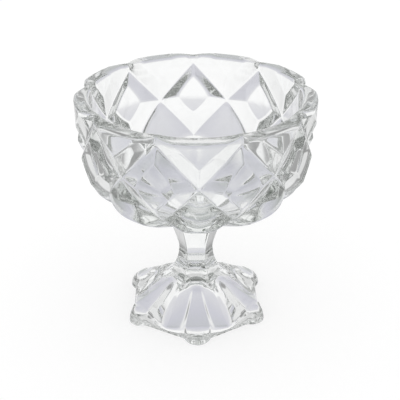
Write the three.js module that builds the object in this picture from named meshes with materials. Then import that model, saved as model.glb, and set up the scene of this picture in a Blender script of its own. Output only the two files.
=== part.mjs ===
// Footed candy dish of clear pressed glass: a diamond-cut bowl, a six-sided waisted stem and a
// hollow six-toed foot, each pressed in its own mould and stuck to the next while hot.
// Millimetres, +Z up. The origin is the middle of the plane that the foot stands on, and -Y is the front.
import * as THREE from "three";
import { mergeVertices } from "three/addons/utils/BufferGeometryUtils.js";

const { clamp, degToRad, lerp, smoothstep } = THREE.MathUtils;

// Foot
const TOES = 6; // the stem has as many sides
const FOOT_HEIGHT = 27;
const BAY_RADIUS = 36.9; // axis to the middle of one of the foot's straight sides
const TOE_REACH = 1.9; // how far a toe's end stands out past the corner of two sides
const TOE_ROUNDING = 5.5; // radius of a toe's round end
const TOE_SETBACK = 5; // from the end of a toe in to the lower end of its rib
const TOE_RISE = 5.2; // height of that lower end
const BAY_SETBACK = 1.6;
const BAY_RISE = 3;
const CREASE_FLARE = 5.1; // how far the foot widens from the stem's section to a crease round its top
const CREASE_DROP = 6; // from the stem down to that crease
const RIB_SAG = 0.4; // how far a rib's line sags between the crease and the toe
const BAY_SAG = 1.4;
const STANDING_RING = 2.7; // width of the ring that the foot stands on, in the middle of a side
const FOOT_CROWN = 10; // glass between the edge of the hollow's top and the stem
const HOLLOW_TOP_RADIUS = 14; // to the corners of the section, before they are rounded
const HOLLOW_BULGE = 1; // how far the hollow's sides swell up and out
const HOLLOW_DOME = 2;

// Shape of the foot's upper face
const RIB_TOP_HALF_ANGLE = degToRad(4); // a rib widens from the crease
const RIB_END_HALF_ANGLE = degToRad(12.5); // to its toe
const RIB_CROWN = 0.05; // share of a rib's height that it falls away to either side
const FLANK_ANGLE = degToRad(2.7); // over which a steep flank falls from a rib
const FLANK_DROP = 0.45; // by this share of the rib's height
const BAY_SHARPNESS = 1.2; // how quickly the rest falls away into the bays
const CREASE_BEND_OUT = 0.25; // where the curve above the crease bends, as shares of its run and fall
const CREASE_BEND_DOWN = 0.6;
const HOLLOW_ROUNDING = 0.4; // of the hollow's corners, as a share of its radius

// Stem; its radii run to the corners of the section
const STEM_LENGTH = 34;
const STEM_FOOT_RADIUS = 12.8;
const STEM_WAIST_RADIUS = 10;
const STEM_WAIST_HEIGHT = 11.5; // waist above the stem's lower end
const STEM_HEAD_RADIUS = 17;
const STEM_LOWER_EASE = 6.5; // from the waist down to where the lower flare sets in
const STEM_UPPER_EASE = 4.5; // from the waist up to where the upper flare sets in

// Bowl; its radii run to the bottoms of the grooves
const REPEATS = 9; // diamonds round the bowl
const RIM_RADIUS = 60.7;
const HIP_RADIUS = 53.2; // at the diamonds' lower tips
const BOSS_FLARE = 3; // how far the boss above the stem widens to meet the underside
const BOSS_DEPTH = 3;
const UNDERSIDE_RISE = 20.7; // from the boss up to the diamonds' lower tips
const DIAMOND_HEIGHT = 45.6;
const RIM_BAND = 4.7; // from the diamonds' upper tips to the top of the lip
const LIP_HEIGHT = 2;
const RELIEF = 4.6; // how far the flat of a diamond stands out from its grooves
const BEVEL_WIDTH = 8.2;
const FLAT_TILT = 1.3; // how much further the flat stands out at its lower corner, and less at its upper one
const LOBE_RELIEF = 3.6; // the same for the long cells under the belt
const LOBE_BEVEL_WIDTH = 10.5;
const WALL = 3.7; // glass between a groove and the inside
const FLOOR = 8.5; // glass above the boss

// Shape of the bowl's meridian, with leans from upright, and shares of its length from boss to rim
const RIM_LEAN = degToRad(4);
const HIP_LEAN = degToRad(36);
const BOSS_LEAN = degToRad(68);
const FULLNESS = 0.38; // of each curve, as a share of its chord
const RELIEF_START = 0.12; // the relief has grown to its full height here
const FLOOR_END = 0.6; // the floor has thinned to the wall here

// Fineness of the facets
const EDGE_STEPS = 4;
const TABLE_RINGS = 2;
const WALL_ROWS = 12;
const FLOOR_ROWS = 3;
const LIP_ROWS = 4;
const STEM_ROWS = 6;
const FLARE_ROWS = 3;
const FOOT_ROWS = 6;
const HOLLOW_ROWS = 5;
const DOME_ROWS = 2;
const TOE_ROWS = 3;
const PANEL_STEPS = 3;
const FACET_STEPS = 4;
const HALVINGS = 40; // in the search for a level
const WELD = 1e-4; // points closer than this are one point

// Levels and radii that the sizes above add up to
const stemTop = FOOT_HEIGHT + STEM_LENGTH;
const bossLevel = stemTop + BOSS_DEPTH;
const hipLevel = bossLevel + UNDERSIDE_RISE;
const beltLevel = hipLevel + DIAMOND_HEIGHT / 2;
const crestLevel = hipLevel + DIAMOND_HEIGHT;
const rimTop = crestLevel + RIM_BAND;
const shoulderLevel = rimTop - LIP_HEIGHT;
const bossRadius = STEM_HEAD_RADIUS + BOSS_FLARE;
const toePitch = (2 * Math.PI) / TOES;
const toeRadius = BAY_RADIUS / Math.cos(toePitch / 2) + TOE_REACH;
const creaseRadius = STEM_FOOT_RADIUS + CREASE_FLARE;
const creaseLevel = FOOT_HEIGHT - CREASE_DROP;
const hollowHeight = FOOT_HEIGHT - FOOT_CROWN;
const roundedShare = 1 - HOLLOW_ROUNDING * (1 / Math.cos(toePitch / 2) - 1); // of a corner's radius
const hollowMouthRadius = (BAY_RADIUS - STANDING_RING) / roundedShare;

const v2 = (x, y) => new THREE.Vector2(x, y);
const onAxis = (height) => new THREE.Vector3(0, 0, height);
const steps = (a, b, count) => Array.from({ length: count + 1 }, (_, i) => a.clone().lerp(b, i / count));
const shares = (count) => Array.from({ length: count + 1 }, (_, i) => i / count);

// A point at a radius and height, at an angle counted from the front towards +X.
const atAngle = (radius, height, angle) =>
  new THREE.Vector3(radius * Math.sin(angle), -radius * Math.cos(angle), height);
const circleOf = (radius, height, angles) => angles.map((angle) => atAngle(radius, height, angle));

// Radius of the stem's kind of section towards an angle: straight sides, one of them at the front.
const fromToe = (angle) => angle - Math.round(angle / toePitch) * toePitch;
const flatSided = (cornerRadius, angle) =>
  (cornerRadius * Math.cos(toePitch / 2)) / Math.cos(fromToe(angle));

// The same with the corners rounded, for the hollow.
function roundSided(cornerRadius, angle) {
  const rounding = cornerRadius * HOLLOW_ROUNDING;
  const centre = cornerRadius - rounding / Math.cos(toePitch / 2);
  const half = toePitch / 2;
  const offCorner = half - Math.abs(fromToe(angle));
  const tangent = Math.atan2(rounding * Math.sin(half), centre + rounding * Math.cos(half));
  if (offCorner > tangent) return flatSided(cornerRadius, angle);
  return centre * Math.cos(offCorner) + Math.sqrt(rounding ** 2 - (centre * Math.sin(offCorner)) ** 2);
}

// Collects triangles whose corners run counter-clockwise when seen from outside.
class Skin {
  corners = [];

  triangle(a, b, c) {
    const longest = Math.max(a.distanceTo(b), b.distanceTo(c), c.distanceTo(a));
    const doubleArea = b.clone().sub(a).cross(c.clone().sub(a)).length();
    if (doubleArea > longest * WELD) this.corners.push(a, b, c);
  }

  quad(a, b, c, d) {
    this.triangle(a, b, c);
    this.triangle(a, c, d);
  }

  // Joins closed rings in turn. A ring of one point is a pole.
  loft(rings) {
    const at = (ring, i) => ring[i % ring.length];
    for (let row = 1; row < rings.length; row++) {
      const lower = rings[row - 1];
      const upper = rings[row];
      const count = Math.max(lower.length, upper.length);
      for (let i = 0; i < count; i++) {
        this.quad(at(lower, i), at(lower, i + 1), at(upper, i + 1), at(upper, i));
      }
    }
  }

  geometry() {
    const geometry = mergeVertices(new THREE.BufferGeometry().setFromPoints(this.corners), WELD);
    geometry.computeVertexNormals();
    return geometry;
  }
}

// The bowl's meridian at the bottoms of the grooves: out under the bowl to the hip, then up to the rim.
const heading = (lean) => v2(Math.sin(lean), Math.cos(lean));
function easedCurve(start, startLean, end, endLean) {
  const handle = start.distanceTo(end) * FULLNESS;
  return new THREE.CubicBezierCurve(
    start,
    start.clone().addScaledVector(heading(startLean), handle),
    end.clone().addScaledVector(heading(endLean), -handle),
    end,
  );
}
const meridian = new THREE.CurvePath();
const hip = v2(HIP_RADIUS, hipLevel);
meridian.add(easedCurve(v2(bossRadius, bossLevel), BOSS_LEAN, hip, HIP_LEAN));
meridian.add(easedCurve(hip, HIP_LEAN, v2(RIM_RADIUS, shoulderLevel), RIM_LEAN));
const meridianLength = meridian.getLength();

// Distance along the meridian at which it reaches a level.
function distanceAt(level) {
  let low = 0;
  let high = 1;
  for (let i = 0; i < HALVINGS; i++) {
    const middle = (low + high) / 2;
    if (meridian.getPointAt(middle).y < level) low = middle;
    else high = middle;
  }
  return low * meridianLength;
}
const belt = distanceAt(beltLevel);
const beltRadius = meridian.getPointAt(belt / meridianLength).x;
const halfCell = (beltRadius * Math.PI) / REPEATS;

// Meridian point and outward normal at a distance above (or below) the belt.
function meridianAt(rise) {
  const share = clamp((rise + belt) / meridianLength, 0, 1);
  const along = meridian.getTangentAt(share);
  return { point: meridian.getPointAt(share), out: v2(along.y, -along.x), share };
}

// Places a point of the unrolled pattern (distance round the belt, distance above it) on the bowl,
// standing out from the grooves by a height that dies away towards the boss.
function onBowl(pattern, height) {
  const { point, out, share } = meridianAt(pattern.y);
  point.addScaledVector(out, height * smoothstep(share, 0, RELIEF_START));
  return atAngle(point.x, point.y, pattern.x / beltRadius);
}

// Moves each side of a counter-clockwise outline inwards by its own distance.
function insetOutline(corners, distances) {
  const sides = corners.map((corner, i) => {
    const along = corners[(i + 1) % corners.length].clone().sub(corner).normalize();
    return { from: corner.clone().addScaledVector(v2(-along.y, along.x), distances[i]), along };
  });
  return sides.map((side, i) => {
    const before = sides[(i + sides.length - 1) % sides.length];
    const reach = side.from.clone().sub(before.from).cross(side.along) / before.along.cross(side.along);
    return before.from.clone().addScaledVector(before.along, reach);
  });
}

// A line of the pattern that follows the bowl's round at a height.
const wrapped = (from, to, height, place) =>
  steps(from, to, EDGE_STEPS).map((p) => onBowl(place(p), height));

// A sloping band between a groove and the edge of a raised flat.
function addBevel(skin, groove, edge) {
  for (let i = 0; i < EDGE_STEPS; i++) skin.quad(groove[i], groove[i + 1], edge[i + 1], edge[i]);
}

// A raised flat that follows the bowl's round, filled from its outline to its middle in rings.
function addTable(skin, corners, height, place) {
  const outline = corners.flatMap((corner, i) =>
    steps(corner, corners[(i + 1) % corners.length], EDGE_STEPS).slice(0, -1),
  );
  const middle = corners.reduce((sum, corner) => sum.add(corner), v2(0, 0)).divideScalar(corners.length);
  skin.loft(
    shares(TABLE_RINGS).map((share) =>
      outline.map((p) => onBowl(place(p.clone().lerp(middle, share)), height)),
    ),
  );
}

// One repeat of the pattern, unrolled, with the crossing of two grooves at 0, 0: the grooves run from
// there up to the crest and down to the hip.
const mirror = (p) => v2(-p.x, p.y);
const rimRise = meridianLength - belt;
const crest = v2(halfCell, distanceAt(crestLevel) - belt);
const hipTip = v2(halfCell, distanceAt(hipLevel) - belt);

function addMiddleDiamond(skin, place) {
  const corners = [v2(0, 0), hipTip, v2(2 * halfCell, 0), crest];
  const heights = [RELIEF, RELIEF + FLAT_TILT, RELIEF, RELIEF - FLAT_TILT];
  const table = insetOutline(corners, corners.map(() => BEVEL_WIDTH)).map((p, i) => onBowl(place(p), heights[i]));
  const edges = table.map((corner, i) => steps(corner, table[(i + 1) % table.length], EDGE_STEPS));
  corners.forEach((corner, i) => {
    addBevel(skin, wrapped(corner, corners[(i + 1) % corners.length], 0, place), edges[i]);
  });
  const middle = table.reduce((sum, corner) => sum.add(corner), onAxis(0)).divideScalar(table.length);
  skin.loft([edges.flatMap((edge) => edge.slice(0, -1)), [middle]]);
}

// The half diamond under the rim. Its flat runs up to the lip, and a short facet falls to the notch
// on either side.
const rimFlatFoot = v2(0, (BEVEL_WIDTH * crest.length()) / crest.x);
const rimFlatReach = ((rimRise - rimFlatFoot.y) * crest.x) / crest.y;
const rimFlatEnd = v2(Math.min(rimFlatReach, halfCell - BEVEL_WIDTH / 2), rimRise);

function addUpperCell(skin, place) {
  const notch = v2(halfCell, rimRise);
  const groove = (p) => onBowl(place(p), 0);
  const flat = (p) => onBowl(place(p), RELIEF);
  addBevel(skin, wrapped(v2(0, 0), crest, 0, place), wrapped(rimFlatFoot, rimFlatEnd, RELIEF, place));
  addBevel(
    skin,
    wrapped(mirror(crest), v2(0, 0), 0, place),
    wrapped(mirror(rimFlatEnd), rimFlatFoot, RELIEF, place),
  );
  skin.triangle(groove(crest), groove(notch), flat(rimFlatEnd));
  skin.triangle(groove(mirror(notch)), groove(mirror(crest)), flat(mirror(rimFlatEnd)));
  addTable(skin, [rimFlatFoot, rimFlatEnd, mirror(rimFlatEnd)], RELIEF, place);
}

// The long cell that runs from the belt under the bowl to its boss.
const lobeRoot = v2(halfCell, -belt);
const lobeCorners = [v2(0, 0), mirror(hipTip), mirror(lobeRoot), lobeRoot, hipTip];
const lobeBevels = lobeCorners.map((corner) => (corner.x < 0 && corner.y === -belt ? 0 : LOBE_BEVEL_WIDTH));
const lobeFlat = insetOutline(lobeCorners, lobeBevels);

function addLowerCell(skin, place) {
  lobeBevels.forEach((width, i) => {
    if (width === 0) return;
    const next = (i + 1) % lobeCorners.length;
    addBevel(
      skin,
      wrapped(lobeCorners[i], lobeCorners[next], 0, place),
      wrapped(lobeFlat[i], lobeFlat[next], LOBE_RELIEF, place),
    );
  });
  addTable(skin, lobeFlat, LOBE_RELIEF, place);
}

// Angles round a ring that has a notch and then a flat in each repeat.
function notchedAngles(flatEnd) {
  const one = [v2(-halfCell, 0), ...steps(v2(-flatEnd.x, 0), v2(flatEnd.x, 0), EDGE_STEPS)];
  return Array.from({ length: REPEATS }, (_, k) =>
    one.map((p) => (p.x + 2 * halfCell * k) / beltRadius),
  ).flat();
}

// Inside of the bowl, from the lip down: the meridian moved in by a wall that thickens to the floor,
// then a shallow dish across the middle.
function insideProfile() {
  const rows = shares(WALL_ROWS).map((down) => {
    const { point, out, share } = meridianAt((1 - down) * meridianLength - belt);
    return point.addScaledVector(out, -lerp(FLOOR, WALL, smoothstep(share, 0, FLOOR_END)));
  });
  const last = rows[WALL_ROWS];
  const dip = last.x / Math.tan(BOSS_LEAN) / 2;
  const dish = shares(FLOOR_ROWS).slice(1).map((inwards) => {
    const run = 1 - inwards;
    return v2(last.x * run, last.y - dip * (1 - run ** 2));
  });
  return [...rows, ...dish];
}

function makeBowl() {
  const skin = new Skin();
  for (let k = 0; k < REPEATS; k++) {
    const place = (p) => v2(p.x + 2 * halfCell * k, p.y);
    addMiddleDiamond(skin, place);
    addUpperCell(skin, place);
    addLowerCell(skin, place);
  }

  // The boss widens from the stem's section to the round underside.
  const bossAngles = notchedAngles(lobeFlat[3]);
  skin.loft([
    [onAxis(stemTop)],
    bossAngles.map((angle) => atAngle(flatSided(STEM_HEAD_RADIUS, angle), stemTop, angle)),
    circleOf(bossRadius, bossLevel, bossAngles),
  ]);

  // The lip rolls over from the notched outside to the round inside.
  const rimAngles = notchedAngles(rimFlatEnd);
  const [insideEdge, ...inside] = insideProfile();
  const onNotch = (i) => i % (rimAngles.length / REPEATS) === 0;
  const rim = rimAngles.map((angle, i) => onBowl(v2(angle * beltRadius, rimRise), onNotch(i) ? 0 : RELIEF));
  const lip = shares(LIP_ROWS).slice(1).map((share) =>
    rimAngles.map((angle, i) => {
      const outside = v2(rim[i].x, rim[i].y).length();
      const radius = lerp(outside, insideEdge.x, (1 - Math.cos(share * Math.PI)) / 2);
      return atAngle(radius, shoulderLevel + LIP_HEIGHT * Math.sin(share * Math.PI), angle);
    }),
  );
  const wall = inside.map((p) => (p.x > 0 ? circleOf(p.x, p.y, rimAngles) : [onAxis(p.y)]));
  skin.loft([rim, ...lip, ...wall]);
  return skin.geometry();
}

// A revolve with as many segments as the stem has sides.
function makeStem() {
  const waist = v2(STEM_WAIST_RADIUS, FOOT_HEIGHT + STEM_WAIST_HEIGHT);
  const lower = new THREE.QuadraticBezierCurve(
    v2(STEM_FOOT_RADIUS, FOOT_HEIGHT),
    v2(STEM_WAIST_RADIUS, waist.y - STEM_LOWER_EASE),
    waist,
  );
  const upper = new THREE.QuadraticBezierCurve(
    waist,
    v2(STEM_WAIST_RADIUS, waist.y + STEM_UPPER_EASE),
    v2(STEM_HEAD_RADIUS, stemTop),
  );
  const profile = [
    v2(0, FOOT_HEIGHT),
    ...lower.getPoints(STEM_ROWS),
    ...upper.getPoints(STEM_ROWS).slice(1),
    v2(0, stemTop),
  ];
  return new THREE.LatheGeometry(profile, TOES, toePitch / 2).rotateX(Math.PI / 2);
}

// Angles round the foot where its ribs have a half angle: each sector runs from a bay over a rib.
function footAngles(ribHalfAngle) {
  const rib = shares(FACET_STEPS).map((share) => share * ribHalfAngle);
  const panel = shares(PANEL_STEPS).map((share) => lerp(ribHalfAngle + FLANK_ANGLE, toePitch / 2, share));
  const half = [...rib, ...panel];
  const sector = [...half.slice(1).map((angle) => -angle).reverse(), ...half.slice(0, -1)];
  return Array.from({ length: TOES }, (_, k) => sector.map((angle) => angle + k * toePitch)).flat();
}

// How much of a rib, from 0 in a bay to 1 on the rib's crown, the foot has at an angle.
function ribShare(angle, ribHalfAngle) {
  const away = Math.abs(fromToe(angle));
  if (away <= ribHalfAngle) return 1 - RIB_CROWN * (away / ribHalfAngle) ** 2;
  const drop = FLANK_DROP * smoothstep(away - ribHalfAngle, 0, FLANK_ANGLE);
  const towardsBay = Math.max(toePitch / 2 - away, 0) / (toePitch / 2 - ribHalfAngle);
  return (1 - RIB_CROWN - drop) * towardsBay ** BAY_SHARPNESS;
}

// Edge of the foot on the table: straight sides with a small round toe at each corner.
function footEdge(angle) {
  const away = Math.abs(fromToe(angle));
  const side = BAY_RADIUS / Math.cos(toePitch / 2 - away);
  const centre = toeRadius - TOE_ROUNDING;
  const offLine = centre * Math.sin(away);
  if (offLine >= TOE_ROUNDING) return side;
  return Math.max(side, centre * Math.cos(away) + Math.sqrt(TOE_ROUNDING ** 2 - offLine ** 2));
}

// Lower end of the foot's sloping face at an angle, as radius and height.
function faceEnd(angle, ribHalfAngle) {
  const stretch = 1 / Math.cos(Math.min(Math.abs(fromToe(angle)), RIB_END_HALF_ANGLE));
  const toe = v2((toeRadius - TOE_SETBACK) * stretch, TOE_RISE);
  return v2(BAY_RADIUS - BAY_SETBACK, BAY_RISE).lerp(toe, ribShare(angle, ribHalfAngle));
}

function makeFoot() {
  const ring = (angles, pointAt) =>
    angles.map((angle) => {
      const p = pointAt(angle);
      return atAngle(p.x, p.y, angle);
    });
  const topAngles = footAngles(RIB_TOP_HALF_ANGLE);
  const endAngles = footAngles(RIB_END_HALF_ANGLE);

  // Upper face: a flare from the stem's section to the crease, then a face that slopes to the edge.
  const creaseAt = (angle) => v2(flatSided(creaseRadius, angle), creaseLevel);
  const flareRow = (share) =>
    ring(topAngles, (angle) => {
      const start = v2(flatSided(STEM_FOOT_RADIUS, angle), FOOT_HEIGHT);
      const end = creaseAt(angle);
      const bend = v2(lerp(start.x, end.x, CREASE_BEND_OUT), lerp(start.y, end.y, CREASE_BEND_DOWN));
      return new THREE.QuadraticBezierCurve(start, bend, end).getPoint(share);
    });
  const faceRow = (down) => {
    const ribHalfAngle = lerp(RIB_TOP_HALF_ANGLE, RIB_END_HALF_ANGLE, down);
    return ring(footAngles(ribHalfAngle), (angle) => {
      const start = creaseAt(angle);
      const end = faceEnd(angle, ribHalfAngle);
      const sag = lerp(BAY_SAG, RIB_SAG, ribShare(angle, ribHalfAngle));
      const bend = start.clone().lerp(end, 0.5).sub(v2(0, 2 * sag));
      return new THREE.QuadraticBezierCurve(start, bend, end).getPoint(down);
    });
  };
  const roundedRow = (turn) =>
    ring(endAngles, (angle) => {
      const end = faceEnd(angle, RIB_END_HALF_ANGLE);
      return v2(lerp(end.x, footEdge(angle), Math.sin(turn)), end.y * Math.cos(turn));
    });

  // The hollow: six-sided with round corners, narrowing upwards to a shallow dome.
  const mouth = v2(hollowMouthRadius, 0);
  const top = v2(HOLLOW_TOP_RADIUS, hollowHeight);
  const swell = mouth.clone().lerp(top, 0.5).addScalar(2 * HOLLOW_BULGE);
  const hollowCurve = new THREE.QuadraticBezierCurve(top, swell, mouth);
  const hollowRow = (share) =>
    ring(endAngles, (angle) => {
      const p = hollowCurve.getPoint(share);
      return v2(roundSided(p.x, angle), p.y);
    });
  const domeRow = (out) =>
    ring(endAngles, (angle) =>
      v2(roundSided(HOLLOW_TOP_RADIUS, angle) * out, hollowHeight + HOLLOW_DOME * (1 - out ** 2)),
    );

  const skin = new Skin();
  skin.loft([
    [onAxis(hollowHeight + HOLLOW_DOME)],
    ...shares(DOME_ROWS).slice(1, -1).map(domeRow),
    ...shares(HOLLOW_ROWS).map(hollowRow),
    ...shares(TOE_ROWS).map((share) => roundedRow(((1 - share) * Math.PI) / 2)),
    ...shares(FOOT_ROWS).slice(1, -1).map((share) => faceRow(1 - share)),
    ...shares(FLARE_ROWS).map((share) => flareRow(1 - share)),
    [onAxis(FOOT_HEIGHT)],
  ]);
  return skin.geometry();
}

const clearGlass = () =>
  new THREE.MeshStandardMaterial({
    color: "#eef2f1",
    roughness: 0.04,
    metalness: 0,
    transparent: true,
    opacity: 0.35,
    flatShading: true,
  });

const dish = new THREE.Group();
for (const [name, geometry] of [
  ["bowl", makeBowl()],
  ["stem", makeStem()],
  ["foot", makeFoot()],
]) {
  const piece = new THREE.Mesh(geometry, clearGlass());
  piece.name = name;
  dish.add(piece);
}

export default dish;
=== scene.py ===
"""Looks of the footed candy dish: clear pressed glass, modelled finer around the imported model."""
import math

import bmesh
import bpy
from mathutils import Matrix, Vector
from mathutils.geometry import interpolate_bezier


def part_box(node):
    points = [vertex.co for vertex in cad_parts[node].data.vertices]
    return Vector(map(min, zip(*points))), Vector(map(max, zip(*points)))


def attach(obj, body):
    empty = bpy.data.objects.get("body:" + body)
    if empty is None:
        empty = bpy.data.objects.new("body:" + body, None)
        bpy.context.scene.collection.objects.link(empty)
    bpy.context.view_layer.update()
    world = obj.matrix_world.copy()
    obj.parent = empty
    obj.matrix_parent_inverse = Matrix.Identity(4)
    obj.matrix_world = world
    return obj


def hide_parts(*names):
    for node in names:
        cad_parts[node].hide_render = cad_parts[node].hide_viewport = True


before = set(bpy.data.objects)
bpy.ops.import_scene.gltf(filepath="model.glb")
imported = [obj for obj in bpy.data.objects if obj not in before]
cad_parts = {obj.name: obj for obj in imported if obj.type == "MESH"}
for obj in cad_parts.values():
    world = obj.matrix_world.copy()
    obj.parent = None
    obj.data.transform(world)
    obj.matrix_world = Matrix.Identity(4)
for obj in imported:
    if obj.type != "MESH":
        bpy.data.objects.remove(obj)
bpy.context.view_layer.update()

MM = 0.001  # pieces are modelled in millimetres and scaled to metres once
JOIN_DISTANCE = 0.002  # within which two points of a piece become one
CUT_TOLERANCE = 1e-5
ROUNDING_ERROR = 1e-9
ANGLE_DIGITS = 4  # to which points of one mesh column agree in their angle

# Levels of the dish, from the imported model
foot_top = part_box("foot")[1].z / MM
stem_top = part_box("stem")[1].z / MM
rim_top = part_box("bowl")[1].z / MM

# Bowl: the meridian runs along the bottoms of the grooves
REPEATS = 9
RIM_RADIUS = 60.6
HIP_RADIUS = 53.1
BOSS_RADIUS = 20.0
BOSS_DEPTH = 3.0
UNDERSIDE_RISE = 20.7
DIAMOND_HEIGHT = 45.6
LIP_HEIGHT = 2.8
LIP_SQUARENESS = 0.7
RIM_LEAN = math.radians(4)
HIP_LEAN = math.radians(36)
BOSS_LEAN = math.radians(68)
FULLNESS = 0.38  # of each span of the meridian, as a share of its chord
SPAN_POINTS = 240
WALL = 3.6
FLOOR = 8.5
FLOOR_END = 0.6  # share of the meridian, from the boss, at which the floor has thinned to the wall

# Relief of the pressed pattern
RELIEF = 4.6
RELIEF_START = 0.12  # share of the meridian at which the relief has grown to its full height
BEVEL_WIDTH = 8.2
FLAT_TILT = 1.3  # how far a diamond's flat stands out at its foot and back at its head
GROOVE_ROUNDING = 0.25
ARRIS_ROUNDING = 0.35  # depth over which fire polish has rounded the arrises
MITRE_ROUNDING = 0.05  # the same between two bevels, as a share of a cell

# Lobes under the bowl, with grooves that run straighter than the lobes and so lie deeper
LOBE_RELIEF = 3.8
LOBE_BEVEL_WIDTH = 14.0
LOBE_BOSS_LEAN = math.radians(75)
LOBE_FULLNESS = 0.28
LOBE_ARCH = 0.3  # rounds the lobes' heads, in half cells
LOBE_CORNER_ROUNDING = 1.0  # between a lobe's head and its sides
LOBE_GROOVE_ROUNDING = 2.5
GROOVE_HIP_LEAN = math.radians(56)
GROOVE_BOSS_LEAN = math.radians(75)

# Stem, with six sides as the foot has
SIDES = 6
HALF_SIDE = math.pi / SIDES  # half the angle that a side takes up
STEM_FOOT_RADIUS = 12.8
STEM_WAIST_RADIUS = 10.0
STEM_WAIST_HEIGHT = 11.5
STEM_HEAD_RADIUS = 17.0
STEM_LOWER_EASE = 6.5
STEM_UPPER_EASE = 4.5
CORNER_ROUNDING = 1.2  # of the stem's six corners
SEAM_GAP = 0.02  # between two pieces' closed ends

# Foot: its edge and toes
BAY_RADIUS = 36.9
BAY_SETBACK = 1.6
BAY_RISE = 3.0
TOE_REACH = 1.9
TOE_ROUNDING = 7.0
TOE_SETBACK = 6.5
TOE_RISE = 8.0
TOE_BLEND = 3.0  # over which a toe runs out into the foot's sides
FACE_END_ROUNDING = 0.8

# Foot: its sloping face, with ribs that widen from the stem to the toes
CREASE_RADIUS = 17.9
CREASE_LEVEL = 21.0
CREASE_BEND_OUT = 0.25
CREASE_BEND_DOWN = 0.6
RIB_SAG = 0.4
BAY_SAG = 1.4
BAY_SHARPNESS = 1.2
RIB_TOP_HALF_ANGLE = math.radians(4)
RIB_END_HALF_ANGLE = math.radians(11)
RIB_CROWN = 0.05
RIB_ROUNDING = 0.16
RIB_STEP = 1.7  # how far a rib would stand out at its head from the panels beside it
RIB_STEP_WIDTH = 3.2
RIB_STEP_START = 0.25  # share of the way down at which the step has grown to its full height
FLANK_ANGLE = math.radians(5.5)
FLANK_DROP = 0.18

# Foot: the hollow under it
HOLLOW_HEIGHT = 17.0
HOLLOW_TOP_RADIUS = 14.0
HOLLOW_MOUTH_RADIUS = 36.5
HOLLOW_ROUNDING = 0.4  # of the hollow's corners, as a share of its radius
HOLLOW_BULGE = 1.0
HOLLOW_DOME = 2.0

# Steps of the meshes
CELL_STEPS = 44
RIM_STEPS = 4
LOBE_STEPS = 30
LIP_STEPS = 24
INSIDE_STEPS = 36
FLOOR_STEPS = 8
BOSS_STEPS = 4
SIDE_STEPS = 66  # gives the stem and foot as many columns as the bowl
STEM_STEPS = 20
FLARE_STEPS = 8
FOOT_STEPS = 26
TOE_STEPS = 8
HOLLOW_STEPS = 20
DOME_STEPS = 8
RIB_COLUMNS = 12  # on half a rib, and then on its flank
FLANK_COLUMNS = 6

# Glass
GLASS_IOR = 1.51
DEPTH_TINT = "#F2F4F2"  # what deep glass takes from the light, and how strongly
DEPTH_DENSITY = 9.0
CORD_SIZE = 30.0  # of the faint cords from the gather
CORD_TINTS = ((0, "#FCFDFD"), (1, "#FFFFFF"))
WAVE_SIZE = 9.0  # of the slight waves that the mould leaves
WAVE_DEPTH = 0.05
SCUFF_HEIGHT = 0.2  # up to which tables have scuffed the standing ring
SCUFF_SIZE = 1.5
SCUFF_PATCHES = (0.58, 0.7)  # noise values between which a scuff sets in
SCUFF_ROUGHNESS = 0.3
LIGHT_BOUNCES = 32  # enough for light to pass all the walls of the dish
MIRROR_BOUNCES = 16

# Tones of the set that the glass shows
WHITE = "#FFFFFF"
SWEEP_TONES = (  # by degrees below the level: the wall above the sweep, the sweep, and the floor under it
    (-22, "#DADADA"), (-4, WHITE), (23.2, WHITE), (24.6, "#E4E4E7"), (42, "#CFCFD8"), (70, "#B6BAB8"))
WALL_TONES = (  # by degrees to the side: dark gaps beside the sweep, then white walls
    (27, WHITE), (36, "#A0A0A0"), (45, "#A8A8A8"), (51, "#F8F8F8"))
ROOM_TONES = ((72, WHITE), (42, "#888A88"))  # by degrees from the middle of the dark room
ROOM_TILT = math.radians(35)  # from overhead towards the camera
PALE_FLOOR_TONE = "#F2F2F2"  # of the floor outside the sweep
PALE_NEAR = (0.3, -0.1)  # where it pales towards the camera, by a direction's share of +Y
PALE_SIDES = (0.3, 0.45)  # and to the sides, by its share of X
PAPER_TONE = "#9A9A9A"  # of the floor's paper, which its glow makes white where the dish casts no shadow
PAPER_GLOW = 0.7
PAPER_RADIUS = 2.0
PAPER_SEGMENTS = 96
PAPER_GAP = 0.0002  # keeps the paper clear of the standing ring

# Sockets of a Mix node's two colours and of its result
COLOUR_A, COLOUR_B, MIXED = 6, 7, 2

# Camera, read from the photograph's perspective
CAMERA_TARGET = Vector((0, 0, 0.069))
CAMERA_DISTANCE = 0.4965
CAMERA_ELEVATION = math.radians(28.69)
CAMERA_AZIMUTH = math.radians(-1.5)
CAMERA_LENS = 78.3
CAMERA_SHIFT = 0.01025
CAMERA_CLIP = 0.01


def linear(colour):
    """An sRGB hex colour as linear red, green, blue and alpha."""
    parts = [int(colour[i:i + 2], 16) / 255 for i in (1, 3, 5)]
    return [c / 12.92 if c <= 0.04045 else ((c + 0.055) / 1.055) ** 2.4 for c in parts] + [1.0]


def add_node(tree, kind, settings=None, links=None, stops=(), interpolation="LINEAR"):
    """Adds a node, sets its properties and input values, links its inputs to other nodes' outputs, and
    gives a colour ramp its stops, as positions with sRGB colours."""
    node = tree.nodes.new(kind)
    for name, value in (settings or {}).items():
        if isinstance(name, int) or name in node.inputs:
            node.inputs[name].default_value = value
        else:
            setattr(node, name, value)
    for name, output in (links or {}).items():
        tree.links.new(output, node.inputs[name])
    if stops:
        ramp = node.color_ramp
        ramp.interpolation = interpolation
        for element, (position, colour) in zip(ramp.elements, (stops[0], stops[-1])):
            element.position = position
            element.color = linear(colour)
        for position, colour in stops[1:-1]:
            ramp.elements.new(position).color = linear(colour)
    return node


def shares(count):
    """Even shares from 0 to 1, with both ends."""
    return [i / count for i in range(count + 1)]


def lerp(a, b, share):
    return a + (b - a) * share


def smoothstep(value, end):
    share = min(max(value / end, 0.0), 1.0)
    return share * share * (3 - 2 * share)


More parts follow.
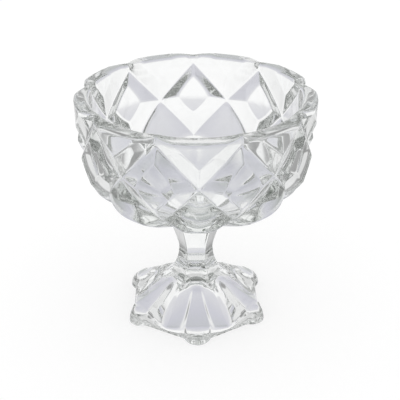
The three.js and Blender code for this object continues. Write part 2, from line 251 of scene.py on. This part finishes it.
def soft_min(a, b, reach):
    """The lesser of two values, with the corner between them rounded off."""
    overlap = max(reach - abs(a - b), 0.0)
    return min(a, b) - overlap * overlap / (4 * reach)


def bend_curve(start, bend, end, share):
    return start.lerp(bend, share).lerp(bend.lerp(end, share), share)


def bow_curve(start, end, offset, share):
    """A curve that passes the middle of its chord by an offset."""
    return bend_curve(start, start.lerp(end, 0.5) + offset * 2, end, share)


def at_angle(radius, height, angle):
    """A point at a radius and height, at an angle counted from the front towards +X."""
    return Vector((radius * math.sin(angle), -radius * math.cos(angle), height))


def angle_of(point):
    return math.atan2(point.x, -point.y)


# The bowl's meridian, as points (radius, 0, height) with the distance run to each
def heading(lean):
    return Vector((math.sin(lean), 0, math.cos(lean)))


def eased_span(start, start_lean, end, end_lean, fullness=FULLNESS):
    handle = (end - start).length * fullness
    near = start + heading(start_lean) * handle
    far = end - heading(end_lean) * handle
    return interpolate_bezier(start, near, far, end, SPAN_POINTS)


boss_level = stem_top + BOSS_DEPTH
hip_level = boss_level + UNDERSIDE_RISE
belt_level = hip_level + DIAMOND_HEIGHT / 2
crest_level = hip_level + DIAMOND_HEIGHT
shoulder_level = rim_top - LIP_HEIGHT
boss_edge = Vector((BOSS_RADIUS, 0, boss_level))
hip = Vector((HIP_RADIUS, 0, hip_level))
shoulder = Vector((RIM_RADIUS, 0, shoulder_level))
meridian = eased_span(boss_edge, BOSS_LEAN, hip, HIP_LEAN)
meridian += eased_span(hip, HIP_LEAN, shoulder, RIM_LEAN)[1:]
run = [0.0]
for near, far in zip(meridian, meridian[1:]):
    run.append(run[-1] + (far - near).length)


def distance_at(level):
    """Distance along the meridian at which it reaches a level above the boss."""
    i = next(k for k, p in enumerate(meridian) if p.z >= level)
    share = (level - meridian[i - 1].z) / (meridian[i].z - meridian[i - 1].z)
    return lerp(run[i - 1], run[i], share)


def meridian_at(distance):
    """Point of the meridian at a distance from the boss, and the outward normal there."""
    distance = min(max(distance, 0.0), run[-1])
    i = next(k for k in range(1, len(run)) if run[k] >= distance - ROUNDING_ERROR)
    share = (distance - run[i - 1]) / (run[i] - run[i - 1])
    before, after = meridian[max(i - 2, 0)], meridian[min(i + 1, len(run) - 1)]
    along = (after - before).normalized()
    return meridian[i - 1].lerp(meridian[i], share), Vector((along.z, 0, -along.x))


belt = distance_at(belt_level)
hip_distance = distance_at(hip_level)
under_grooves = eased_span(boss_edge, GROOVE_BOSS_LEAN, hip, GROOVE_HIP_LEAN)
hip_crown = hip + meridian_at(hip_distance)[1] * LOBE_RELIEF
under_lobes = eased_span(boss_edge, LOBE_BOSS_LEAN, hip_crown, HIP_LEAN, LOBE_FULLNESS)
belt_radius = meridian_at(belt)[0].x
half_cell = belt_radius * math.pi / REPEATS
crest_rise = distance_at(crest_level) - belt
hip_drop = belt - hip_distance
rim_rise = run[-1] - belt
upper_inradius = half_cell * crest_rise / math.hypot(half_cell, crest_rise)
lower_inradius = half_cell * hip_drop / math.hypot(half_cell, hip_drop)


# Depth of a point of the pattern inside its cell, in millimetres from the nearest groove. The pattern
# counts half cells round the belt and half diamonds above it, from the front crossing of the grooves.
def diamond_depth(x, y):
    inradius = upper_inradius if y > 0 else lower_inradius
    across = abs(x - 1)
    return soft_min(1 - abs(across - y), 1 - abs(across + y), MITRE_ROUNDING) * inradius


def upper_depth(x, y):
    slanted = soft_min(y - x, y + x, MITRE_ROUNDING) * upper_inradius
    return min(slanted, (1 - abs(x)) * half_cell)


def lobe_depth(x, y):
    slanted = soft_min(-y - x, -y + x, LOBE_ARCH) * lower_inradius
    beside = math.hypot((1 - abs(x)) * half_cell, LOBE_GROOVE_ROUNDING) - LOBE_GROOVE_ROUNDING
    return soft_min(slanted, beside, LOBE_CORNER_ROUNDING)


def on_bowl(x, y, height):
    """Sets a point of the pattern down on the bowl, standing out from the grooves by a height."""
    distance = belt + y * (crest_rise if y > 0 else hip_drop)
    point, out = meridian_at(distance)
    point += out * height * smoothstep(distance / run[-1], RELIEF_START)
    return at_angle(point.x, point.z, x * math.pi / REPEATS)


# The plane of a diamond's flat, through the four corners that the bevels leave of it
flat_half_width = 1 - BEVEL_WIDTH / lower_inradius
flat_top = on_bowl(1, 1 - BEVEL_WIDTH / upper_inradius, RELIEF - FLAT_TILT)
flat_bottom = on_bowl(1, BEVEL_WIDTH / lower_inradius - 1, RELIEF + FLAT_TILT)
flat_left = on_bowl(1 - flat_half_width, 0, RELIEF)
flat_right = on_bowl(1 + flat_half_width, 0, RELIEF)
flat_normal = (flat_right - flat_left).cross(flat_top - flat_bottom).normalized()
flat_middle = (flat_top + flat_bottom + flat_left + flat_right) / 4


def cut_bevel(depth):
    """Height of a bevel at a depth inside its cell."""
    rounded = math.hypot(max(depth, 0.0), GROOVE_ROUNDING) - GROOVE_ROUNDING
    return RELIEF * rounded / BEVEL_WIDTH


def diamond_point(x, y):
    """Point of a diamond: bevels that rise from the grooves to a plane."""
    foot = on_bowl(x, y, 0)
    out = on_bowl(x, y, 1) - foot
    plane = (flat_middle - foot).dot(flat_normal) / out.dot(flat_normal)
    return on_bowl(x, y, soft_min(cut_bevel(diamond_depth(x, y)), plane, ARRIS_ROUNDING))


def upper_point(x, y):
    """Point of the half diamonds under the rim, whose flats follow the rim's round."""
    return on_bowl(x, y, soft_min(cut_bevel(upper_depth(x, y)), RELIEF, ARRIS_ROUNDING))


def lobe_point(x, y):
    """Point of the long cells under the belt, which swell in one round from their grooves."""
    angle = x * math.pi / REPEATS
    groove, crown = on_bowl(x, y, 0), on_bowl(x, y, LOBE_RELIEF)
    under = max(belt + y * hip_drop, 0.0) / hip_distance
    if under < 1:
        i = min(int(under * (SPAN_POINTS - 1)), SPAN_POINTS - 2)
        rest = under * (SPAN_POINTS - 1) - i
        groove, crown = [
            at_angle(*line[i].lerp(line[i + 1], rest).xz, angle) for line in (under_grooves, under_lobes)]
    share = min(max(lobe_depth(x, y), 0.0) / LOBE_BEVEL_WIDTH, 1.0)
    return groove.lerp(crown, 1 - (1 - share) ** 2)


def press_cell(bm, columns, rows, to_pattern, place, keep=None):
    """Adds one cell of the pattern: a flat grid, trimmed to one side of a plane and pressed on the bowl."""
    flat = bmesh.new()
    bmesh.ops.create_grid(flat, x_segments=columns, y_segments=rows, size=1)
    for vertex in flat.verts:
        vertex.co = Vector((*to_pattern(vertex.co.x, vertex.co.y), 0))
    if keep:
        level, normal = keep
        bmesh.ops.bisect_plane(
            flat, geom=flat.verts[:] + flat.edges[:] + flat.faces[:], dist=CUT_TOLERANCE,
            plane_co=(0, level, 0), plane_no=(0, normal, 0), clear_inner=True)
    for vertex in flat.verts:
        x, y, _ = vertex.co
        vertex.co = place(x, y)
    mesh = bpy.data.meshes.new("cell")
    flat.to_mesh(mesh)
    flat.free()
    bm.from_mesh(mesh)
    bpy.data.meshes.remove(mesh)


def repeat_round(bm, count):
    """Repeats a sector round the axis and joins the copies."""
    bmesh.ops.spin(
        bm, geom=bm.verts[:] + bm.edges[:] + bm.faces[:], axis=(0, 0, 1), cent=(0, 0, 0), dvec=(0, 0, 0),
        angle=2 * math.pi / count * (count - 1), steps=count - 1, use_duplicate=True)
    bmesh.ops.remove_doubles(bm, verts=bm.verts[:], dist=JOIN_DISTANCE)


def extrude_ring(bm, edges, place):
    """Extrudes an open loop of edges and moves each new point to a place worked out from its angle."""
    made = bmesh.ops.extrude_edge_only(bm, edges=edges)["geom"]
    for vertex in (g for g in made if isinstance(g, bmesh.types.BMVert)):
        vertex.co = place(angle_of(vertex.co))
    return [g for g in made if isinstance(g, bmesh.types.BMEdge) and g.is_boundary]


def close_ring(bm, edges, level):
    """Closes an open loop to a point on the axis."""
    ring = extrude_ring(bm, edges, lambda angle: Vector((0, 0, level)))
    bmesh.ops.remove_doubles(bm, verts=list({v for e in ring for v in e.verts}), dist=JOIN_DISTANCE)


def rounded_hexagon(corner_radius, angle, rounding=CORNER_ROUNDING):
    """Radius of a six-sided section with rounded corners towards an angle, with a flat at the front."""
    apothem = corner_radius * math.cos(HALF_SIDE)
    off_flat = abs(from_toe(angle))
    off_corner = HALF_SIDE - off_flat
    centre = (apothem - rounding) / math.cos(HALF_SIDE)
    tangent = math.atan2(rounding * math.sin(HALF_SIDE), centre + rounding * math.cos(HALF_SIDE))
    if off_corner > tangent:
        return apothem / math.cos(off_flat)
    return centre * math.cos(off_corner) + math.sqrt(rounding ** 2 - (centre * math.sin(off_corner)) ** 2)


def from_toe(angle):
    """Angle from the middle of the nearest toe, which is that of a side of the stem."""
    return angle - round(angle / (2 * HALF_SIDE)) * 2 * HALF_SIDE


def finish_piece(bm, name, finishes, node):
    """Closes a finished bmesh in millimetres at its seams and makes it the piece that stands for a node."""
    for face in bm.faces:
        face.smooth = True
    for seam in bmesh.ops.holes_fill(bm, edges=bm.edges[:])["faces"]:
        seam.material_index = 1
        for edge in seam.edges:
            edge.smooth = False
    bmesh.ops.recalc_face_normals(bm, faces=bm.faces[:])
    bmesh.ops.scale(bm, vec=(MM, MM, MM), verts=bm.verts[:])
    mesh = bpy.data.meshes.new(name)
    bm.to_mesh(mesh)
    bm.free()
    for finish in finishes:
        mesh.materials.append(finish)
    piece = bpy.data.objects.new(name, mesh)
    bpy.context.scene.collection.objects.link(piece)
    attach(piece, "root")
    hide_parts(node)


def make_bowl(finishes):
    bm = bmesh.new()
    diamond = lambda x, y: (1 + (x - y) / 2, (x + y) / 2)
    upper = lambda x, y: ((x - y) / 2, 1 + (x + y) / 2)
    lower = lambda x, y: ((x - y) / 2, -1 + (x + y) / 2)
    rim_share = rim_rise / crest_rise
    boss_share = -belt / hip_drop
    rim_strip = lambda x, y: (x, lerp(1, rim_share, (y + 1) / 2))
    lobe_strip = lambda x, y: (x, lerp(boss_share, -1, (y + 1) / 2))
    press_cell(bm, CELL_STEPS, CELL_STEPS, diamond, diamond_point)
    press_cell(bm, CELL_STEPS, CELL_STEPS, upper, upper_point, keep=(1, -1))
    press_cell(bm, CELL_STEPS, RIM_STEPS, rim_strip, upper_point)
    press_cell(bm, CELL_STEPS, CELL_STEPS, lower, lobe_point, keep=(-1, 1))
    press_cell(bm, CELL_STEPS, LOBE_STEPS, lobe_strip, lobe_point)
    repeat_round(bm, REPEATS)
    open_edges = [e for e in bm.edges if e.is_boundary]
    rim = [e for e in open_edges if e.verts[0].co.z > belt_level]
    boss = [e for e in open_edges if e.verts[0].co.z < belt_level]

    # Lip, which rounds over from the relief to the inside
    inside = []
    for share in shares(INSIDE_STEPS):
        distance = run[-1] * (1 - share)
        point, out = meridian_at(distance)
        inside.append(point - out * lerp(FLOOR, WALL, smoothstep(distance / run[-1], FLOOR_END)))
    outside = {round(angle_of(v.co), ANGLE_DIGITS): v.co.xy.length for e in rim for v in e.verts}
    for share in shares(LIP_STEPS)[1:]:
        turn = math.pi * share
        across = math.copysign(abs(math.cos(turn)) ** LIP_SQUARENESS, math.cos(turn))
        level = shoulder_level + LIP_HEIGHT * math.sin(turn) ** LIP_SQUARENESS
        rim = extrude_ring(bm, rim, lambda angle: at_angle(
            lerp(outside[round(angle, ANGLE_DIGITS)], inside[0].x, (1 - across) / 2), level, angle))

    # Inside, with a dished floor
    for point in inside[1:]:
        rim = extrude_ring(bm, rim, lambda angle: at_angle(point.x, point.z, angle))
    last = inside[-1]
    dip = last.x / math.tan(BOSS_LEAN) / 2
    for share in shares(FLOOR_STEPS)[1:-1]:
        rim = extrude_ring(bm, rim, lambda angle: at_angle(
            last.x * (1 - share), last.z - dip * share * (2 - share), angle))
    close_ring(bm, rim, last.z - dip)

    # Boss above the stem
    for share in shares(BOSS_STEPS)[1:]:
        boss = extrude_ring(bm, boss, lambda angle: at_angle(
            lerp(BOSS_RADIUS, rounded_hexagon(STEM_HEAD_RADIUS, angle), share),
            lerp(boss_level, stem_top, share), angle))
    finish_piece(bm, "bowl_glass", finishes, "bowl")


def make_stem(finishes):
    """Carries a six-sided ring up the stem's profile, as points (radius, height)."""
    foot_end = Vector((STEM_FOOT_RADIUS, foot_top + SEAM_GAP))
    waist = Vector((STEM_WAIST_RADIUS, foot_top + STEM_WAIST_HEIGHT))
    head = Vector((STEM_HEAD_RADIUS, stem_top - SEAM_GAP))
    lower_bend = waist - Vector((0, STEM_LOWER_EASE))
    upper_bend = waist + Vector((0, STEM_UPPER_EASE))
    profile = [bend_curve(foot_end, lower_bend, waist, share) for share in shares(STEM_STEPS)]
    profile += [bend_curve(waist, upper_bend, head, share) for share in shares(STEM_STEPS)[1:]]
    bm = bmesh.new()
    bmesh.ops.create_circle(bm, segments=SIDES * SIDE_STEPS, radius=1, cap_ends=False)
    section = lambda point, angle: at_angle(rounded_hexagon(point.x, angle), point.y, angle)
    for vertex in bm.verts:
        vertex.co = section(profile[0], angle_of(vertex.co))
    ring = bm.edges[:]
    for point in profile[1:]:
        ring = extrude_ring(bm, ring, lambda angle: section(point, angle))
    finish_piece(bm, "stem_glass", finishes, "stem")


toe_radius = BAY_RADIUS / math.cos(HALF_SIDE) + TOE_REACH


def rib_half_angle(down):
    """Half the angle that a rib takes up, a share of the way down: it widens to its toe."""
    return lerp(RIB_TOP_HALF_ANGLE, RIB_END_HALF_ANGLE, down)


def along_rib(column, down):
    """Angle of a mesh column, bunched so that columns run down the edges of the rib and of its flanks."""
    step = 2 * HALF_SIDE / SIDE_STEPS
    facet = rib_half_angle(down)
    even = [0, step * RIB_COLUMNS, step * (RIB_COLUMNS + FLANK_COLUMNS), HALF_SIDE]
    bunched = [0, facet, facet + FLANK_ANGLE, HALF_SIDE]
    away = min(abs(column), HALF_SIDE)
    i = next(k for k in (1, 2, 3) if away <= even[k] + ROUNDING_ERROR)
    angle = lerp(bunched[i - 1], bunched[i], (away - even[i - 1]) / (even[i] - even[i - 1]))
    return math.copysign(angle, column)


def rib_share(angle, down):
    """How much of a rib, from 0 in a bay to 1 on the rib's crown, the foot has at an angle and a share of
    the way down."""
    away = abs(from_toe(angle))
    facet = rib_half_angle(down)
    crown = 1 - RIB_CROWN * (away / facet) ** 2
    drop = FLANK_DROP * smoothstep(away - facet, FLANK_ANGLE)
    bay = (1 - RIB_CROWN - drop) * (max(HALF_SIDE - away, 0) / (HALF_SIDE - facet)) ** BAY_SHARPNESS
    return soft_min(crown, bay, RIB_ROUNDING)


def foot_edge(angle):
    """Radius of the foot on the table: straight sides with a round toe at each corner."""
    away = abs(from_toe(angle))
    side = BAY_RADIUS / math.cos(HALF_SIDE - away)
    centre = toe_radius - TOE_ROUNDING
    off_line = centre * math.sin(away)
    if off_line >= TOE_ROUNDING:
        return side
    toe = centre * math.cos(away) + math.sqrt(TOE_ROUNDING ** 2 - off_line ** 2)
    return -soft_min(-side, -toe, TOE_BLEND)


def flare_point(angle, share):
    """The foot's top, which flares from the stem to a crease."""
    start = Vector((rounded_hexagon(STEM_FOOT_RADIUS, angle), foot_top))
    end = Vector((rounded_hexagon(CREASE_RADIUS, angle), CREASE_LEVEL))
    bend = Vector((lerp(start.x, end.x, CREASE_BEND_OUT), lerp(start.y, end.y, CREASE_BEND_DOWN)))
    return at_angle(*bend_curve(start, bend, end, share), angle)


def face_end(angle, down=1):
    """Lower end of the foot's sloping face at an angle, as (radius, height). It stays inside the edge."""
    stretch = 1 / math.cos(min(abs(from_toe(angle)), RIB_END_HALF_ANGLE))
    bay_end = Vector((BAY_RADIUS - BAY_SETBACK, BAY_RISE))
    toe_end = Vector(((toe_radius - TOE_SETBACK) * stretch, TOE_RISE))
    end = bay_end.lerp(toe_end, rib_share(angle, down))
    end.x = soft_min(end.x, foot_edge(angle) - BAY_SETBACK, FACE_END_ROUNDING)
    return end


def face_point(angle, down):
    """The foot's sloping face, which sags a little and steps up to the ribs."""
    start = Vector((rounded_hexagon(CREASE_RADIUS, angle), CREASE_LEVEL))
    sag = lerp(BAY_SAG, RIB_SAG, rib_share(angle, down))
    radius, height = bow_curve(start, face_end(angle, down), Vector((0, -sag)), down)
    beside = (abs(from_toe(angle)) - rib_half_angle(down)) * radius
    grown = (1 - down) * smoothstep(down, RIB_STEP_START)
    return at_angle(radius, height + RIB_STEP * grown * (1 - smoothstep(beside, RIB_STEP_WIDTH)), angle)


def round_point(angle, turn):
    """The round from the face down to the foot's edge, and to the toes' noses."""
    end = face_end(angle)
    return at_angle(lerp(end.x, foot_edge(angle), math.sin(turn)), end.y * math.cos(turn), angle)


def hollow_point(angle, share):
    """The hollow under the foot, six-sided with round corners and a little domed."""
    mouth, top = Vector((HOLLOW_MOUTH_RADIUS, 0)), Vector((HOLLOW_TOP_RADIUS, HOLLOW_HEIGHT))
    radius, height = bow_curve(mouth, top, Vector((HOLLOW_BULGE, HOLLOW_BULGE)), share)
    return at_angle(rounded_hexagon(radius, angle, radius * HOLLOW_ROUNDING), height, angle)


def dome_point(angle, share):
    """The hollow's shallow domed top, from its edge to the axis."""
    edge = rounded_hexagon(HOLLOW_TOP_RADIUS, angle, HOLLOW_TOP_RADIUS * HOLLOW_ROUNDING)
    return at_angle(edge * (1 - share), HOLLOW_HEIGHT + HOLLOW_DOME * share * (2 - share), angle)


def make_foot(finishes):
    """Presses one sector of the foot from a grid whose rows run from the stem to the edge and up the
    hollow."""
    rows = [lambda c, s=s: flare_point(lerp(c, along_rib(c, 0), s), s) for s in shares(FLARE_STEPS)]
    rows += [lambda c, s=s: face_point(along_rib(c, s), s) for s in shares(FOOT_STEPS)[1:]]
    rows += [lambda c, s=s: round_point(along_rib(c, 1), math.pi / 2 * s) for s in shares(TOE_STEPS)[1:]]
    rows += [lambda c, s=s: hollow_point(along_rib(c, 1), s) for s in shares(HOLLOW_STEPS)]
    rows += [lambda c, s=s: dome_point(along_rib(c, 1), s) for s in shares(DOME_STEPS)[1:]]
    bm = bmesh.new()
    bmesh.ops.create_grid(bm, x_segments=SIDE_STEPS, y_segments=len(rows) - 1, size=1)
    for vertex in bm.verts:
        row = rows[round((vertex.co.y + 1) / 2 * (len(rows) - 1))]
        vertex.co = row(vertex.co.x * HALF_SIDE)
    repeat_round(bm, SIDES)
    finish_piece(bm, "foot_glass", finishes, "foot")


def clear_pressed_glass():
    """Soda-lime glass, pressed in an iron mould and fire-polished: clear with sharp reflections, faintly
    green where it is thick, its faces a little wavy as the mould left them, its standing ring scuffed by
    tables."""
    material = bpy.data.materials.new("clear_pressed_glass")
    material.use_nodes = True
    tree = material.node_tree
    shader = tree.nodes["Principled BSDF"]
    shader.inputs["Transmission Weight"].default_value = 1.0
    shader.inputs["IOR"].default_value = GLASS_IOR
    where = add_node(tree, "ShaderNodeTexCoord").outputs["Object"]
    cords = add_node(
        tree, "ShaderNodeTexNoise", {"Scale": 1 / (CORD_SIZE * MM), "Detail": 1.0}, {"Vector": where})
    tint = add_node(tree, "ShaderNodeValToRGB", links={"Fac": cords.outputs["Fac"]}, stops=CORD_TINTS)
    waves = add_node(
        tree, "ShaderNodeTexNoise", {"Scale": 1 / (WAVE_SIZE * MM), "Detail": 1.0}, {"Vector": where})
    mould_face = add_node(
        tree, "ShaderNodeBump", {"Strength": 1.0, "Distance": WAVE_DEPTH * MM},
        {"Height": waves.outputs["Fac"]})
    parts = add_node(tree, "ShaderNodeSeparateXYZ", links={"Vector": where})
    patches = add_node(tree, "ShaderNodeTexNoise", {"Scale": 1 / (SCUFF_SIZE * MM)}, {"Vector": where})
    worn = add_node(
        tree, "ShaderNodeMapRange",
        {"From Min": SCUFF_PATCHES[0], "From Max": SCUFF_PATCHES[1], "To Max": SCUFF_ROUGHNESS},
        {"Value": patches.outputs["Fac"]})
    scuffs = add_node(
        tree, "ShaderNodeMapRange", {"From Max": SCUFF_HEIGHT * MM, "To Max": 0.0},
        {"Value": parts.outputs["Z"], "To Min": worn.outputs["Result"]})
    tree.links.new(tint.outputs["Color"], shader.inputs["Base Color"])
    tree.links.new(mould_face.outputs["Normal"], shader.inputs["Normal"])
    tree.links.new(scuffs.outputs["Result"], shader.inputs["Roughness"])
    depth = add_node(
        tree, "ShaderNodeVolumeAbsorption", {"Color": linear(DEPTH_TINT), "Density": DEPTH_DENSITY})
    tree.links.new(depth.outputs["Volume"], tree.nodes["Material Output"].inputs["Volume"])
    return material


def fused_seam():
    """Where hot pieces were stuck together the glass runs through, so the seam doesn't show."""
    material = bpy.data.materials.new("fused_seam")
    material.use_nodes = True
    material.node_tree.nodes["Principled BSDF"].inputs["Alpha"].default_value = 0.0
    return material


def seen_in_glass(tree):
    """An output that is 1 for what shows in the glass or through it, and 0 for what the camera sees."""
    path = add_node(tree, "ShaderNodeLightPath")
    seen = add_node(
        tree, "ShaderNodeMath", {"operation": "MAXIMUM"},
        {0: path.outputs["Is Glossy Ray"], 1: path.outputs["Is Transmission Ray"]})
    return seen.outputs[0]


def light_the_set():
    """A white sweep: plain white to the camera. Through the glass it greys towards the floor, the two sides
    and the dark room behind the camera."""
    world = bpy.data.worlds.new("studio")
    world.use_nodes = True
    tree = world.node_tree
    where = add_node(tree, "ShaderNodeTexCoord").outputs["Generated"]
    parts = add_node(tree, "ShaderNodeSeparateXYZ", links={"Vector": where})
    width = add_node(tree, "ShaderNodeMath", {"operation": "ABSOLUTE"}, {0: parts.outputs["X"]}).outputs[0]
    depth = add_node(
        tree, "ShaderNodeMapRange", {"From Min": 1.0, "From Max": -1.0}, {"Value": parts.outputs["Z"]})
    sweep = add_node(
        tree, "ShaderNodeValToRGB", links={"Fac": depth.outputs["Result"]},
        stops=[((1 + math.sin(math.radians(below))) / 2, tone) for below, tone in SWEEP_TONES])
    near, beside = [
        add_node(tree, "ShaderNodeMapRange", {"From Min": start, "From Max": end}, {"Value": share})
        for (start, end), share in ((PALE_NEAR, parts.outputs["Y"]), (PALE_SIDES, width))]
    pale = add_node(
        tree, "ShaderNodeMath", {"operation": "MAXIMUM"},
        {0: near.outputs["Result"], 1: beside.outputs["Result"]})
    ground = add_node(
        tree, "ShaderNodeMix", {"data_type": "RGBA", COLOUR_B: linear(PALE_FLOOR_TONE)},
        {"Factor": pale.outputs[0], COLOUR_A: sweep.outputs["Color"]})
    walls = add_node(
        tree, "ShaderNodeValToRGB", links={"Fac": width}, interpolation="EASE",
        stops=[(math.sin(math.radians(turn)), tone) for turn, tone in WALL_TONES])
    dark_side = add_node(
        tree, "ShaderNodeVectorMath",
        {"operation": "DOT_PRODUCT", 1: (0, -math.sin(ROOM_TILT), math.cos(ROOM_TILT))}, {0: where})
    room = add_node(
        tree, "ShaderNodeValToRGB", links={"Fac": dark_side.outputs["Value"]}, interpolation="EASE",
        stops=[(math.cos(math.radians(away)), tone) for away, tone in ROOM_TONES])
    studio = ground.outputs[MIXED]
    for part in (walls, room):
        studio = add_node(
            tree, "ShaderNodeVectorMath", {"operation": "MULTIPLY"},
            {0: studio, 1: part.outputs["Color"]}).outputs[0]
    shown = add_node(
        tree, "ShaderNodeMix", {"data_type": "RGBA", COLOUR_A: linear(WHITE)},
        {"Factor": seen_in_glass(tree), COLOUR_B: studio})
    tree.links.new(shown.outputs[MIXED], tree.nodes["Background"].inputs["Color"])
    bpy.context.scene.world = world


def lay_the_floor():
    """Paper that glows white and takes the dish's shadow. The glass looks past it at the set."""
    paper = bpy.data.materials.new("white_sweep_paper")
    paper.use_nodes = True
    tree = paper.node_tree
    shader = tree.nodes["Principled BSDF"]
    shader.inputs["Base Color"].default_value = linear(PAPER_TONE)
    shader.inputs["Roughness"].default_value = 1.0
    shader.inputs["Specular IOR Level"].default_value = 0.0
    shader.inputs["Emission Color"].default_value = linear(WHITE)
    shader.inputs["Emission Strength"].default_value = PAPER_GLOW
    clear = add_node(tree, "ShaderNodeBsdfTransparent")
    both = add_node(
        tree, "ShaderNodeMixShader", None,
        {0: seen_in_glass(tree), 1: shader.outputs["BSDF"], 2: clear.outputs["BSDF"]})
    tree.links.new(both.outputs["Shader"], tree.nodes["Material Output"].inputs["Surface"])
    bm = bmesh.new()
    bmesh.ops.create_circle(bm, cap_ends=True, segments=PAPER_SEGMENTS, radius=PAPER_RADIUS)
    bmesh.ops.translate(bm, vec=(0, 0, -PAPER_GAP), verts=bm.verts[:])
    mesh = bpy.data.meshes.new("floor")
    bm.to_mesh(mesh)
    bm.free()
    mesh.materials.append(paper)
    floor = bpy.data.objects.new("floor", mesh)
    bpy.context.scene.collection.objects.link(floor)


def place_camera():
    camera = bpy.data.cameras.new("camera")
    camera.lens = CAMERA_LENS
    camera.shift_x = CAMERA_SHIFT
    camera.clip_start = CAMERA_CLIP
    back = Vector((
        math.cos(CAMERA_ELEVATION) * math.sin(CAMERA_AZIMUTH),
        -math.cos(CAMERA_ELEVATION) * math.cos(CAMERA_AZIMUTH),
        math.sin(CAMERA_ELEVATION)))
    holder = bpy.data.objects.new("camera", camera)
    holder.location = CAMERA_TARGET + back * CAMERA_DISTANCE
    holder.rotation_euler = back.to_track_quat("Z", "Y").to_euler()
    bpy.context.scene.collection.objects.link(holder)
    bpy.context.scene.camera = holder


finishes = [clear_pressed_glass(), fused_seam()]
make_bowl(finishes)
make_stem(finishes)
make_foot(finishes)
light_the_set()
lay_the_floor()
place_camera()

scene = bpy.context.scene
scene.view_settings.view_transform = "Standard"
scene.cycles.max_bounces = LIGHT_BOUNCES
scene.cycles.transmission_bounces = LIGHT_BOUNCES
scene.cycles.glossy_bounces = MIRROR_BOUNCES
